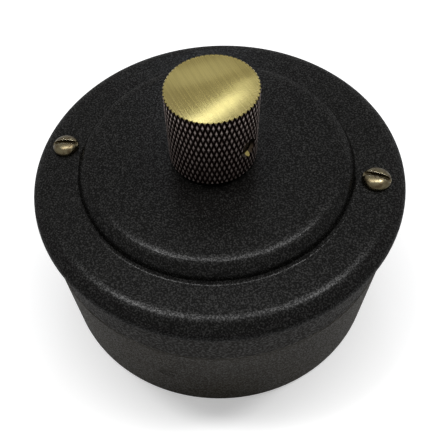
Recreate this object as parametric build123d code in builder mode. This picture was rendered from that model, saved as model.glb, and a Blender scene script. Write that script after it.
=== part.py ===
"""Rotary dimmer: a knurled brass knob on a round black metal case for surface wiring.

Millimetres. The origin is the centre of the face against the wall, +Z points into the room
and +X runs through the right-hand cover screw.
"""

import os
from math import cos, pi, radians, sin

from build123d import *

os.makedirs("parts", exist_ok=True)

# Case: a deep box and a spacer ring under a slightly wider cover
cover_diameter = 100.0
cover_overhang = 1.1
ring_step = 0.15
case_wall = 3.5
case_floor = 3.5
box_height = 32.0
ring_height = 13.8
rebate_depth = 2.5
rebate_width = 1.6
rebate_clearance = 0.1
seam_chamfer = 0.35
foot_fillet = 0.8
lug_radius = 5.0
dent_height = 17.2
dent_angle = -96.0
dent_radius = 7.0
dent_depth = 0.6

# Cover: one pressing with a rolled rim and a raised middle
cover_sheet = 2.0
rim_roll = 5.6
rim_roll_angle = 50.0
rim_corner = 2.8
rim_lip = 0.4
raised_screw_gap = 0.7
raised_crown = 7.0
raised_crown_angle = 15.0
raised_corner = 4.6
raised_wall_angle = 75.0
raised_root = 1.1

# Cover screws: slotted round heads
cover_screw_inset = 3.4
cover_screw_diameter = 4.0
cover_screw_length = 28.0
cover_head_diameter = 7.4
cover_head_height = 2.3
cover_head_edge = 0.4
cover_slot_width = 1.1
cover_slot_depth = 1.1
right_slot_angle = -11.6
left_slot_angle = 8.8
screw_hole_clearance = 0.25
thread_clearance = 0.05
insert_diameter = 5.8
insert_height = 9.0
insert_pocket_depth = 11.0
insert_sink = 0.1

# Wall face
fixing_spread = 60.0
fixing_slot_length = 9.0
fixing_slot_width = 5.0
cable_hole_diameter = 20.0
grommet_bore = 12.0
grommet_recess_diameter = 27.0
grommet_recess_depth = 1.8
grommet_flange_diameter = 26.0
grommet_flange_height = 1.6
grommet_clearance = 0.02
earth_block = 8.0
earth_block_height = 7.0
earth_corner = 0.6
earth_wire_diameter = 3.6
earth_wire_lift = 2.4
earth_inset = 7.2
earth_angle = 222.9

# Knob
knob_diameter = 22.8
knob_height = 21.3
knob_gap = 1.1
knurl_count = 58
knurl_rows = 12
knurl_depth = 0.45
knob_rim = 0.5
knob_dish = 0.9
knob_recess_diameter = 17.6
knob_recess_depth = 5.2
knob_bore_depth = 13.4
knob_bore_gap = 0.4
grub_angle = -28.3
grub_height = 8.0
grub_diameter = 4.0
grub_sink = 2.1
grub_socket_width = 2.0
grub_socket_depth = 2.2

# Spindle and its bush
spindle_diameter = 6.0
spindle_lift = 1.4
spindle_clearance = 0.05
flat_distance = 1.5
knob_flat_length = 14.5
rotor_flat_length = 6.2
clip_diameter = 10.4
clip_thickness = 0.6
clip_groove_depth = 0.7
clip_mouth = 3.6
clip_gap = 0.2
seat_clearance = 0.03
bush_diameter = 10.0
bush_flange_diameter = 14.0
bush_flange_height = 1.6
bush_reach = 4.0
bush_chamfer = 0.4
bush_hole_clearance = 0.15
washer_diameter = 15.2
washer_thickness = 0.5
washer_teeth = 16
washer_tooth_depth = 0.9
nut_width = 14.0
nut_height = 2.4

# Dimmer module
module_width = 44.0
module_corner = 5.0
plate_thickness = 2.0
plate_chamfer = 0.3
housing_depth = 30.4
housing_wall = 1.8
housing_floor = 2.0
board_thickness = 1.6
board_lift = 10.0
board_clearance = 0.2
board_hole_diameter = 6.0
post_radius = 3.0
post_inset = 4.7
post_shoulder = 4.2
plate_screw_diameter = 2.5
plate_screw_length = 9.0
plate_screw_head = 4.7
vent_count = 5
vent_length = 12.0
vent_width = 1.4
vent_pitch = 4.0

# Potentiometer on the board
shell_diameter = 20.0
shell_wall = 1.2
shell_height = 8.0
shell_hole_clearance = 0.7
track_thickness = 1.0
track_inner_diameter = 11.2
rotor_diameter = 14.0
rotor_thickness = 3.0
rotor_hub_diameter = 10.6
rotor_lift = 2.6
rotor_clearance = 0.06
rotor_end_gap = 0.1
rotor_tab = 1.4
stop_middle = 90.0
stop_half = 29.0
tab_half = 15.5
stop_gap = 0.5
stop_clearance = 0.3
wiper_strip = 0.25
wiper_width = 1.2
wiper_length = 3.2
wiper_gap = 0.05

# Push switch under the board
switch_width = 14.0
switch_base_height = 1.5
switch_roof = 1.2
switch_corner = 1.0
slider_flange_diameter = 6.8
slider_flange_height = 1.5
slider_stem_diameter = 4.8
slider_clearance = 0.08
slider_rise = 0.3
slider_gap = 0.05
spring_wire = 0.5
spring_diameter = 5.6
spring_turns = 4
spring_runs = 12

# Other electrical parts
component_gap = 0.6
triac_width = 10.0
triac_length = 16.0
triac_body_length = 9.0
triac_height = 4.4
triac_tab = 1.3
triac_hole_diameter = 3.6
triac_lead = 0.8
triac_lead_pitch = 2.5
triac_lead_reach = 1.4
triac_lead_drop = 2.6
triac_screw_diameter = 3.0
triac_screw_head = 5.5
triac_screw_head_height = 2.0
choke_diameter = 12.0
choke_height = 8.8
choke_flange = 1.4
choke_post = 5.6
choke_layers = 5
choke_coil_diameter = 10.4
capacitor_length = 12.5
capacitor_width = 6.0
capacitor_height = 11.0
capacitor_corner = 0.5
capacitor_inset = 1.4
fuse_offset = 7.0
fuse_diameter = 8.5
fuse_height = 8.0
fuse_chamfer = 0.6
terminal_ways = 3
terminal_pitch = 8.0
terminal_depth = 10.3
terminal_height = 16.0
terminal_clearance = 0.15
terminal_wall_gap = 0.3
terminal_wire_diameter = 3.4
terminal_screw_diameter = 3.0
terminal_head_diameter = 5.2
terminal_head_height = 2.0
terminal_head_sink = 1.0
terminal_slot = 0.8
clamp_width = 6.0
clamp_length = 8.6
clamp_height = 4.0
clamp_clearance = 0.1


def skin_normal(slope):
    """Outward direction of a skin that slopes down by so many degrees, in a section."""
    return Vector(sin(radians(slope)), cos(radians(slope)))


def bends_size(bends):
    """Width and drop of an edge. Each bend is a radius, minus for a hollow, and its two slopes."""
    run = Vector(0, 0)
    for radius, first, last in bends:
        run += radius * (skin_normal(last) - skin_normal(first))
    return run.X, -run.Y


# Heights and radii that follow
cover_radius = cover_diameter / 2
case_radius = cover_radius - cover_overhang
ring_radius = case_radius - ring_step
dent_reach = case_radius + dent_radius - dent_depth
dent_turn = radians(dent_angle)
case_inner_radius = case_radius - case_wall
cover_screw_radius = case_inner_radius - cover_screw_inset
raised_radius = cover_screw_radius - cover_head_diameter / 2 - raised_screw_gap
earth_radius = case_inner_radius - earth_inset
earth_place = (earth_radius * cos(radians(earth_angle)), earth_radius * sin(radians(earth_angle)))
ring_top = box_height + ring_height
rim_bends = [(rim_roll, 0, rim_roll_angle), (rim_corner, rim_roll_angle, 90)]
raised_bends = [
    (raised_crown, 0, raised_crown_angle),
    (raised_corner, raised_crown_angle, raised_wall_angle),
    (-raised_root, raised_wall_angle, 0),
]
rim_width, rim_drop = bends_size(rim_bends)
raised_width, raised_rise = bends_size(raised_bends)
rim_flat = cover_radius - rim_width
raised_flat = raised_radius - raised_width
flange_top = ring_top + rim_lip + rim_drop
cover_top = flange_top + raised_rise
cover_seat = flange_top - cover_sheet
bush_hole_radius = bush_diameter / 2 + bush_hole_clearance
plate_top = cover_top - cover_sheet
plate_bottom = plate_top - plate_thickness
housing_bottom = plate_bottom - housing_depth
housing_inside = housing_bottom + housing_floor
board_bottom = housing_inside + board_lift
board_top = board_bottom + board_thickness
post_offset = module_width / 2 - post_inset
inner_width = module_width - 2 * housing_wall
knob_bottom = cover_top + knob_gap
knob_top = knob_bottom + knob_height
grub_level = knob_bottom + grub_height
spindle_radius = spindle_diameter / 2
spindle_top = knob_bottom + knob_recess_depth + knob_bore_depth - knob_bore_gap
spindle_bottom = board_top + spindle_lift
clip_top = plate_bottom - bush_flange_height - clip_gap
rotor_bottom = board_top + rotor_lift
shell_roof = board_top + shell_height - shell_wall
stop_inner_radius = rotor_diameter / 2 + stop_clearance
switch_top = board_bottom
slider_flange_top = switch_top - switch_roof - slider_rise
slider_flange_bottom = slider_flange_top - slider_flange_height
switch_floor = housing_inside + switch_base_height

# Places that several pieces share
cover_screw_places = [(cover_screw_radius, 0), (-cover_screw_radius, 0)]
fixing_places = [(0, fixing_spread / 2), (0, -fixing_spread / 2)]
boss_places = [(post_offset, post_offset), (-post_offset, -post_offset)]
post_places = [(post_offset, -post_offset), (-post_offset, post_offset)]
component_edge = inner_width / 2 - component_gap
triac_place = (triac_width / 2 - component_edge, 0)
choke_place = (component_edge - choke_diameter / 2, choke_diameter / 2 - component_edge)
capacitor_left = capacitor_inset - component_edge
capacitor_place = (capacitor_left + capacitor_length / 2, component_edge - capacitor_width / 2)
fuse_place = (component_edge - fuse_diameter / 2, fuse_offset)
terminal_middle = terminal_wall_gap + (terminal_depth - inner_width) / 2
terminal_places = [((way - (terminal_ways - 1) / 2) * terminal_pitch, 0) for way in range(terminal_ways)]
terminal_bottom = board_bottom - terminal_height
terminal_wire_row = terminal_middle - terminal_depth / 4
terminal_screw_row = terminal_middle + terminal_depth / 4
clamp_bottom = board_bottom - clamp_height - 2 * clamp_clearance


def level(height):
    """Horizontal plane at a height above the wall."""
    return Plane.XY.offset(height)


def ring_sector(inner, outer, middle, half):
    """Face between two radii, half an angle either side of its middle, in degrees."""
    with BuildLine() as outline:
        outside = CenterArc((0, 0), outer, middle - half, 2 * half)
        inside = CenterArc((0, 0), inner, middle - half, 2 * half)
        Line(outside @ 0, inside @ 0)
        Line(outside @ 1, inside @ 1)
    make_face(outline.edges())


def flat_face(distance, width, mode=Mode.ADD):
    """Square that lies beyond a flat on a shaft."""
    with Locations((distance + width / 2, 0)):
        Rectangle(width, width, mode=mode)


def spindle_plane(height):
    """Horizontal plane whose x runs towards the grub screw."""
    across = (cos(radians(grub_angle)), sin(radians(grub_angle)), 0)
    return Plane(origin=(0, 0, height), x_dir=across, z_dir=(0, 0, 1))


def save(part, name):
    """Label a finished piece and write it."""
    part.label = name
    export_step(part, f"parts/{name}.step")


# Lower box, cast with two screw lugs
with BuildPart() as wall_box:
    with BuildSketch():
        Circle(case_radius)
    extrude(amount=box_height)
    foot = wall_box.edges().group_by(Axis.Z)[0]
    brim = wall_box.edges().group_by(Axis.Z)[-1]
    fillet(foot, foot_fillet)
    chamfer(brim, seam_chamfer)
    with BuildSketch(level(case_floor)):
        Circle(case_inner_radius)
        with Locations(*cover_screw_places):
            Circle(lug_radius, mode=Mode.SUBTRACT)
    extrude(amount=box_height - case_floor, mode=Mode.SUBTRACT)
    with BuildSketch(level(box_height - rebate_depth)):
        Circle(case_inner_radius + rebate_width)
        Circle(case_inner_radius, mode=Mode.SUBTRACT)
    extrude(amount=rebate_depth, mode=Mode.SUBTRACT)
    with BuildSketch(level(box_height)):
        with Locations(*cover_screw_places):
            Circle(insert_diameter / 2 + seat_clearance)
    extrude(amount=-insert_pocket_depth, mode=Mode.SUBTRACT)
    with BuildSketch():
        Circle(cable_hole_diameter / 2)
        with Locations(*fixing_places):
            SlotOverall(fixing_slot_length, fixing_slot_width, rotation=90)
    extrude(amount=case_floor, mode=Mode.SUBTRACT)
    with BuildSketch():
        Circle(grommet_recess_diameter / 2)
    extrude(amount=grommet_recess_depth, mode=Mode.SUBTRACT)
    with Locations((dent_reach * cos(dent_turn), dent_reach * sin(dent_turn), dent_height)):
        Sphere(dent_radius, mode=Mode.SUBTRACT)
save(wall_box.part, "wall_box")

# Threaded brass inserts in the box lugs
with BuildPart() as screw_inserts:
    with BuildSketch(level(box_height - insert_sink)):
        with Locations(*cover_screw_places):
            Circle(insert_diameter / 2)
            Circle(cover_screw_diameter / 2, mode=Mode.SUBTRACT)
    extrude(amount=-insert_height)
save(screw_inserts.part, "screw_inserts")

# Spacer ring, with a spigot into the box, a register for the cover and a pad under each cover screw
with BuildPart() as spacer_ring:
    with BuildSketch(level(box_height)):
        Circle(ring_radius)
    extrude(amount=ring_height)
    chamfer(spacer_ring.edges().group_by(Axis.Z)[0], seam_chamfer)
    with BuildSketch(level(box_height)):
        Circle(case_inner_radius + rebate_width - rebate_clearance)
    extrude(amount=rebate_clearance - rebate_depth)
    with BuildSketch(level(ring_top)):
        Circle(cover_radius - cover_sheet - rebate_clearance)
    extrude(amount=rim_lip)
    with BuildSketch(level(box_height - rebate_depth)):
        Circle(case_inner_radius)
    extrude(amount=rebate_depth, mode=Mode.SUBTRACT)
    with BuildSketch(level(box_height)):
        Circle(case_inner_radius)
        with Locations(*cover_screw_places):
            Circle(lug_radius, mode=Mode.SUBTRACT)
    extrude(amount=ring_height + rim_lip, mode=Mode.SUBTRACT)
    with BuildSketch(level(ring_top)):
        with Locations(*cover_screw_places):
            Circle(rim_flat - cover_screw_radius)
    extrude(amount=cover_seat - ring_top)
    with BuildSketch(level(box_height)):
        with Locations(*cover_screw_places):
            Circle(cover_screw_diameter / 2 + screw_hole_clearance)
    extrude(amount=cover_seat - box_height, mode=Mode.SUBTRACT)
save(spacer_ring.part, "spacer_ring")


def bent_edge(start, bends, depth):
    """Arcs of an edge at a depth below the outer skin, from a point of that skin outwards."""
    point = Vector(start)
    for radius, first, last in bends:
        middle = point - radius * skin_normal(first)
        side = 90 if radius > 0 else -90
        arc = CenterArc(middle, abs(radius - depth), side - first, first - last)
        point = middle + radius * skin_normal(last)
    return arc @ 1


def cover_skin(depth):
    """Section of the cover at a depth below its outer skin, from the bush hole to the rim."""
    Line((bush_hole_radius, cover_top - depth), (raised_flat, cover_top - depth))
    root = bent_edge((raised_flat, cover_top), raised_bends, depth)
    Line(root, (rim_flat, flange_top - depth))
    lip = bent_edge((rim_flat, flange_top), rim_bends, depth)
    Line(lip, (cover_radius - depth, ring_top))


# Cover pressing
with BuildPart() as cover:
    with BuildSketch(Plane.XZ):
        with BuildLine():
            cover_skin(0)
            cover_skin(cover_sheet)
            Line((bush_hole_radius, cover_top), (bush_hole_radius, plate_top))
            Line((cover_radius, ring_top), (cover_radius - cover_sheet, ring_top))
        make_face()
    revolve(axis=Axis.Z)
    with BuildSketch(level(flange_top)):
        with Locations(*cover_screw_places):
            Circle(cover_screw_diameter / 2 + screw_hole_clearance)
    extrude(amount=-cover_sheet, mode=Mode.SUBTRACT)
save(cover.part, "cover")

# Two long cover screws
with BuildPart() as cover_screws:
    head_radius = cover_head_diameter / 2
    shank_radius = cover_screw_diameter / 2 - thread_clearance
    dome = cover_head_height - cover_head_edge
    dome_radius = (dome**2 + head_radius**2) / (2 * dome)
    for place, slot_angle in zip(cover_screw_places, (right_slot_angle, left_slot_angle)):
        seat = Plane((*place, flange_top))
        with BuildSketch(Plane(seat.origin, x_dir=(1, 0, 0), z_dir=(0, -1, 0))):
            with BuildLine():
                Polyline(
                    (0, cover_head_height),
                    (0, -cover_screw_length),
                    (shank_radius, -cover_screw_length),
                    (shank_radius, 0),
                    (head_radius, 0),
                    (head_radius, cover_head_edge),
                )
                RadiusArc((head_radius, cover_head_edge), (0, cover_head_height), -dome_radius)
            make_face()
        revolve(axis=Axis(seat.origin, (0, 0, 1)))
        with BuildSketch(seat.offset(cover_head_height)):
            Rectangle(cover_head_diameter, cover_slot_width, rotation=slot_angle)
        extrude(amount=-cover_slot_depth, mode=Mode.SUBTRACT)
save(cover_screws.part, "cover_screws")

# Rubber grommet in the cable hole
with BuildPart() as cable_grommet:
    neck_radius = cable_hole_diameter / 2 - grommet_clearance
    flange_radius = grommet_flange_diameter / 2
    with BuildSketch(Plane.XZ):
        with BuildLine():
            Polyline(
                (grommet_bore / 2, grommet_recess_depth - grommet_flange_height),
                (flange_radius, grommet_recess_depth - grommet_flange_height),
                (flange_radius, grommet_recess_depth),
                (neck_radius, grommet_recess_depth),
                (neck_radius, case_floor),
                (flange_radius, case_floor),
                (flange_radius - grommet_flange_height, case_floor + grommet_flange_height),
                (grommet_bore / 2, case_floor + grommet_flange_height),
                close=True,
            )
        make_face()
    revolve(axis=Axis.Z)
save(cable_grommet.part, "cable_grommet")

# Earth terminal on the box floor
earth_top = case_floor + earth_block_height
with BuildPart() as earth_terminal:
    with BuildSketch(level(case_floor)):
        with Locations(earth_place):
            RectangleRounded(earth_block, earth_block, earth_corner)
    extrude(amount=earth_block_height)
    with BuildSketch(level(earth_top)):
        with Locations(earth_place):
            Circle(terminal_screw_diameter / 2)
    extrude(amount=-earth_block_height / 2, mode=Mode.SUBTRACT)
    with BuildSketch(Plane.XZ.offset(-earth_place[1] - earth_block / 2)):
        with Locations((earth_place[0], case_floor + earth_wire_lift)):
            Circle(earth_wire_diameter / 2)
    extrude(amount=earth_block, mode=Mode.SUBTRACT)
save(earth_terminal.part, "earth_terminal")

with BuildPart() as earth_screw:
    with BuildSketch(level(earth_top)):
        with Locations(earth_place):
            Circle(terminal_screw_diameter / 2 - thread_clearance)
    extrude(amount=-earth_block_height / 3)
    with BuildSketch(level(earth_top)):
        with Locations(earth_place):
            Circle(terminal_head_diameter / 2)
    extrude(amount=terminal_head_height)
    with BuildSketch(level(earth_top + terminal_head_height)):
        with Locations(earth_place):
            Rectangle(terminal_head_diameter, terminal_slot)
    extrude(amount=-terminal_head_height / 2, mode=Mode.SUBTRACT)
save(earth_screw.part, "earth_screw")

# Plate that closes the module and sheds its heat, clamped under the cover by the bush
with BuildPart() as heat_sink_plate:
    with BuildSketch(level(plate_bottom)):
        RectangleRounded(module_width, module_width, module_corner)
        Circle(bush_hole_radius, mode=Mode.SUBTRACT)
        with Locations(triac_place):
            with Locations((0, triac_length / 2 - triac_hole_diameter)):
                Circle(triac_screw_diameter / 2, mode=Mode.SUBTRACT)
    extrude(amount=plate_thickness)
    plate_rim = heat_sink_plate.faces().sort_by(Axis.Z)[-1].outer_wire()
    chamfer(plate_rim.edges(), plate_chamfer)
    with Locations(*[(*place, plate_top) for place in boss_places]):
        CounterSinkHole(plate_screw_diameter / 2 + seat_clearance, plate_screw_head / 2 + seat_clearance)
save(heat_sink_plate.part, "heat_sink_plate")

# Countersunk screws that hold the plate to the housing
with BuildPart() as plate_screws:
    shank_radius = plate_screw_diameter / 2 - thread_clearance
    head_radius = plate_screw_head / 2
    for place in boss_places:
        seat = Plane((*place, plate_top))
        with BuildSketch(Plane(seat.origin, x_dir=(1, 0, 0), z_dir=(0, -1, 0))):
            with BuildLine():
                Polyline(
                    (0, 0),
                    (head_radius, 0),
                    (shank_radius, shank_radius - head_radius),
                    (shank_radius, -plate_screw_length),
                    (0, -plate_screw_length),
                    close=True,
                )
            make_face()
        revolve(axis=Axis(seat.origin, (0, 0, 1)))
        with BuildSketch(seat):
            Rectangle(plate_screw_head, terminal_slot)
        extrude(amount=-plate_screw_head / 6, mode=Mode.SUBTRACT)
save(plate_screws.part, "plate_screws")

# Moulded housing, open towards the plate
with BuildPart() as module_housing:
    with BuildSketch(level(housing_bottom)):
        RectangleRounded(module_width, module_width, module_corner)
    extrude(amount=housing_depth)
    with BuildSketch(level(housing_inside)):
        RectangleRounded(inner_width, inner_width, module_corner - housing_wall)
        with Locations(*boss_places):
            Circle(post_shoulder, mode=Mode.SUBTRACT)
        with Locations(*post_places):
            Circle(post_radius, mode=Mode.SUBTRACT)
    extrude(amount=board_lift, mode=Mode.SUBTRACT)
    with BuildSketch(level(board_bottom)):
        RectangleRounded(inner_width, inner_width, module_corner - housing_wall)
        with Locations(*boss_places):
            Circle(post_radius, mode=Mode.SUBTRACT)
    extrude(amount=plate_bottom - board_bottom, mode=Mode.SUBTRACT)
    with BuildSketch(level(plate_bottom)):
        with Locations(*boss_places):
            Circle(plate_screw_diameter / 2)
    extrude(amount=-plate_screw_length, mode=Mode.SUBTRACT)
    with BuildSketch(level(housing_bottom)):
        with Locations((0, terminal_middle)):
            opening_width = terminal_ways * terminal_pitch + 2 * terminal_clearance
            Rectangle(opening_width, terminal_depth + 2 * terminal_clearance)
    extrude(amount=housing_floor, mode=Mode.SUBTRACT)
    with BuildSketch(Plane.YZ.offset(-module_width / 2)):
        with Locations((0, (board_top + plate_bottom) / 2)):
            with GridLocations(vent_pitch, 0, vent_count, 1):
                Rectangle(vent_width, vent_length)
    extrude(amount=module_width, mode=Mode.SUBTRACT)
save(module_housing.part, "module_housing")

# Circuit board
with BuildPart() as circuit_board:
    board_width = inner_width - 2 * board_clearance
    with BuildSketch(level(board_bottom)):
        RectangleRounded(board_width, board_width, module_corner - housing_wall)
        Circle(board_hole_diameter / 2, mode=Mode.SUBTRACT)
        with Locations(*boss_places):
            Circle(post_radius + board_clearance, mode=Mode.SUBTRACT)
    extrude(amount=board_thickness)
save(circuit_board.part, "circuit_board")

# Threaded bush, staked through the plate
with BuildPart() as threaded_bush:
    with BuildSketch(level(plate_bottom)):
        Circle(bush_flange_diameter / 2)
    extrude(amount=-bush_flange_height)
    with BuildSketch(level(plate_bottom)):
        Circle(bush_diameter / 2)
    extrude(amount=cover_top + bush_reach - plate_bottom)
    chamfer(threaded_bush.edges().group_by(Axis.Z)[-1], bush_chamfer)
    with BuildSketch(level(plate_bottom - bush_flange_height)):
        Circle(spindle_radius + spindle_clearance)
    extrude(amount=cover_top + bush_reach - plate_bottom + bush_flange_height, mode=Mode.SUBTRACT)
save(threaded_bush.part, "threaded_bush")

# Toothed washer and nut that clamp the cover to the bush
with BuildPart() as lock_washer:
    with BuildSketch(level(cover_top)):
        Circle(washer_diameter / 2)
        Circle(bush_diameter / 2 + bush_hole_clearance, mode=Mode.SUBTRACT)
        with PolarLocations(washer_diameter / 2, washer_teeth):
            Rectangle(2 * washer_tooth_depth, washer_tooth_depth, mode=Mode.SUBTRACT)
    extrude(amount=washer_thickness)
save(lock_washer.part, "lock_washer")

with BuildPart() as bush_nut:
    with BuildSketch(level(cover_top + washer_thickness)):
        RegularPolygon(nut_width / 2, 6, major_radius=False)
        Circle(bush_diameter / 2 + thread_clearance, mode=Mode.SUBTRACT)
    extrude(amount=nut_height)
save(bush_nut.part, "bush_nut")

# Spindle with a flat for the grub screw and one for the rotor
with BuildPart() as spindle:
    with BuildSketch(spindle_plane(spindle_bottom)):
        Circle(spindle_radius)
    extrude(amount=spindle_top - spindle_bottom)
    with BuildSketch(spindle_plane(spindle_bottom)):
        flat_face(flat_distance, spindle_diameter)
    extrude(amount=rotor_flat_length, mode=Mode.SUBTRACT)
    with BuildSketch(spindle_plane(spindle_top)):
        flat_face(flat_distance, spindle_diameter)
    extrude(amount=-knob_flat_length, mode=Mode.SUBTRACT)
    with BuildSketch(level(clip_top + seat_clearance)):
        Circle(spindle_diameter)
        Circle(spindle_radius - clip_groove_depth, mode=Mode.SUBTRACT)
    extrude(amount=-clip_thickness - 2 * seat_clearance, mode=Mode.SUBTRACT)
save(spindle.part, "spindle")

# Clip that stops the spindle at the bush
with BuildPart() as spindle_clip:
    with BuildSketch(level(clip_top)):
        Circle(clip_diameter / 2)
        Circle(spindle_radius - clip_groove_depth + seat_clearance, mode=Mode.SUBTRACT)
        with Locations((-clip_diameter / 2, 0)):
            Rectangle(clip_diameter, clip_mouth, mode=Mode.SUBTRACT)
    extrude(amount=-clip_thickness)
save(spindle_clip.part, "spindle_clip")


def knurl_point(radius, place, row):
    """Corner of the knurl: places count round the knob, rows count up it."""
    turn = 2 * pi * place / knurl_count
    return Vector(radius * cos(turn), radius * sin(turn), knob_bottom + row * knob_height / knurl_rows)


def knurled_blank():
    """Turned blank covered in diamond points, with half diamonds along both edges."""
    tip = knob_diameter / 2
    root = tip - knurl_depth
    faces = []
    for row in range(knurl_rows + 1):
        stagger = 0.5 * (row % 2)
        rim = []
        for place in range(knurl_count):
            left = knurl_point(root, place + stagger, row)
            peak = knurl_point(tip, place + stagger + 0.5, row)
            right = knurl_point(root, place + stagger + 1, row)
            rim += [left, peak]
            if row > 0:
                low = knurl_point(root, place + stagger + 0.5, row - 1)
                faces.append(Face(Wire.make_polygon([left, low, peak])))
                faces.append(Face(Wire.make_polygon([low, right, peak])))
            if row < knurl_rows:
                high = knurl_point(root, place + stagger + 0.5, row + 1)
                faces.append(Face(Wire.make_polygon([right, high, peak])))
                faces.append(Face(Wire.make_polygon([high, left, peak])))
        if row in (0, knurl_rows):
            faces.append(Face(Wire.make_polygon(rim)))
    return Solid(Shell(faces))


# Knob, hollow below for the nut
blank = knurled_blank()
with BuildPart() as knob:
    add(blank)
    dish_radius = knob_diameter / 2 - knurl_depth - knob_rim
    dish_sphere = (dish_radius**2 + knob_dish**2) / (2 * knob_dish)
    with Locations((0, 0, knob_top + dish_sphere - knob_dish)):
        Sphere(dish_sphere, mode=Mode.SUBTRACT)
    with BuildSketch(level(knob_bottom)):
        Circle(knob_recess_diameter / 2)
    extrude(amount=knob_recess_depth, mode=Mode.SUBTRACT)
    with BuildSketch(level(knob_bottom + knob_recess_depth)):
        Circle(spindle_radius + spindle_clearance)
    extrude(amount=knob_bore_depth, mode=Mode.SUBTRACT)
    across = spindle_plane(grub_level).x_dir
    with BuildSketch(Plane(origin=(0, 0, grub_level), x_dir=(0, 0, 1), z_dir=across)):
        Circle(grub_diameter / 2)
    extrude(amount=knob_diameter, mode=Mode.SUBTRACT)
save(knob.part, "knob")

# Grub screw, run in until it bears on the spindle's flat
with BuildPart() as grub_screw:
    across = spindle_plane(grub_level).x_dir
    tip_centre = Vector(0, 0, grub_level) + across * (flat_distance + seat_clearance)
    end_centre = Vector(0, 0, grub_level) + across * (knob_diameter / 2 - grub_sink)
    with BuildSketch(Plane(origin=tip_centre, x_dir=(0, 0, 1), z_dir=across)):
        Circle(grub_diameter / 2 - thread_clearance)
    extrude(amount=(end_centre - tip_centre).length)
    with BuildSketch(Plane(origin=end_centre, x_dir=(0, 0, 1), z_dir=across)):
        RegularPolygon(grub_socket_width / 2, 6, major_radius=False)
    extrude(amount=-grub_socket_depth, mode=Mode.SUBTRACT)
save(grub_screw.part, "grub_screw")

# Potentiometer shell with the stop that limits the turn
with BuildPart() as potentiometer_shell:
    with BuildSketch(level(board_top)):
        Circle(shell_diameter / 2)
    extrude(amount=shell_height)
    with BuildSketch(level(board_top)):
        Circle(shell_diameter / 2 - shell_wall)
    extrude(amount=shell_height - shell_wall, mode=Mode.SUBTRACT)
    with BuildSketch(level(shell_roof)):
        ring_sector(stop_inner_radius, shell_diameter / 2 - shell_wall / 2, stop_middle, stop_half)
    extrude(amount=rotor_bottom - stop_clearance - shell_roof)
    with BuildSketch(level(shell_roof)):
        Circle(spindle_radius + shell_hole_clearance)
    extrude(amount=shell_wall, mode=Mode.SUBTRACT)
save(potentiometer_shell.part, "potentiometer_shell")

# Carbon track under the rotor
with BuildPart() as resistor_track:
    with BuildSketch(level(board_top)):
        Circle(shell_diameter / 2 - shell_wall - rotor_end_gap)
        Circle(track_inner_diameter / 2, mode=Mode.SUBTRACT)
    extrude(amount=track_thickness)
save(resistor_track.part, "resistor_track")

# Rotor that the spindle's lower flat turns, with the tab that meets the stop
tab_middle = stop_middle - stop_half - stop_gap - tab_half
with BuildPart() as wiper_rotor:
    with BuildSketch(level(rotor_bottom)):
        Circle(rotor_diameter / 2)
    extrude(amount=rotor_thickness)
    with BuildSketch(level(board_top + rotor_end_gap)):
        Circle(rotor_hub_diameter / 2)
    extrude(amount=shell_roof - board_top - 2 * rotor_end_gap)
    with BuildSketch(level(rotor_bottom)):
        ring_sector(rotor_diameter / 2 - rotor_tab, rotor_diameter / 2 + rotor_tab, tab_middle, tab_half)
    extrude(amount=rotor_thickness)
    with BuildSketch(spindle_plane(board_top)):
        Circle(spindle_radius + rotor_clearance)
        flat_face(flat_distance + rotor_clearance, spindle_diameter, Mode.SUBTRACT)
    extrude(amount=shell_height, mode=Mode.SUBTRACT)
    with BuildSketch(level(board_top)):
        Circle(spindle_radius + rotor_clearance)
    extrude(amount=spindle_bottom + slider_gap - board_top, mode=Mode.SUBTRACT)
save(wiper_rotor.part, "wiper_rotor")

# Sprung contact strip under the rotor
with BuildPart() as wiper_contact:
    contact_radius = (rotor_diameter + track_inner_diameter) / 4
    contact_tip = board_top + track_thickness + wiper_gap + wiper_strip / 2
    with BuildSketch(Plane.YZ.offset(-contact_radius - wiper_width / 2)):
        with BuildLine():
            strip = Polyline(
                (-wiper_length / 2, rotor_bottom - wiper_strip / 2),
                (0, rotor_bottom - wiper_strip / 2),
                (wiper_length * 0.7, contact_tip),
                (wiper_length, contact_tip + wiper_strip),
            )
            offset(strip, amount=wiper_strip / 2, kind=Kind.INTERSECTION, side=Side.BOTH)
        make_face()
    extrude(amount=wiper_width)
save(wiper_contact.part, "wiper_contact")

# Push switch under the board: base, body, slider and return spring
with BuildPart() as switch_base:
    with BuildSketch(level(housing_inside)):
        RectangleRounded(switch_width, switch_width, switch_corner)
    extrude(amount=switch_base_height)
save(switch_base.part, "switch_base")

with BuildPart() as switch_body:
    with BuildSketch(level(switch_floor)):
        RectangleRounded(switch_width, switch_width, switch_corner)
        Circle(slider_flange_diameter / 2 + slider_clearance, mode=Mode.SUBTRACT)
    extrude(amount=switch_top - switch_floor)
    with BuildSketch(level(switch_top)):
        Circle(slider_flange_diameter / 2 + switch_corner)
        Circle(slider_stem_diameter / 2 + slider_clearance, mode=Mode.SUBTRACT)
    extrude(amount=-switch_roof)
save(switch_body.part, "switch_body")

with BuildPart() as push_slider:
    with BuildSketch(level(slider_flange_bottom)):
        Circle(slider_flange_diameter / 2)
    extrude(amount=slider_flange_height)
    with BuildSketch(level(slider_flange_top)):
        Circle(slider_stem_diameter / 2)
    extrude(amount=spindle_bottom - slider_gap - slider_flange_top)
save(push_slider.part, "push_slider")

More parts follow.
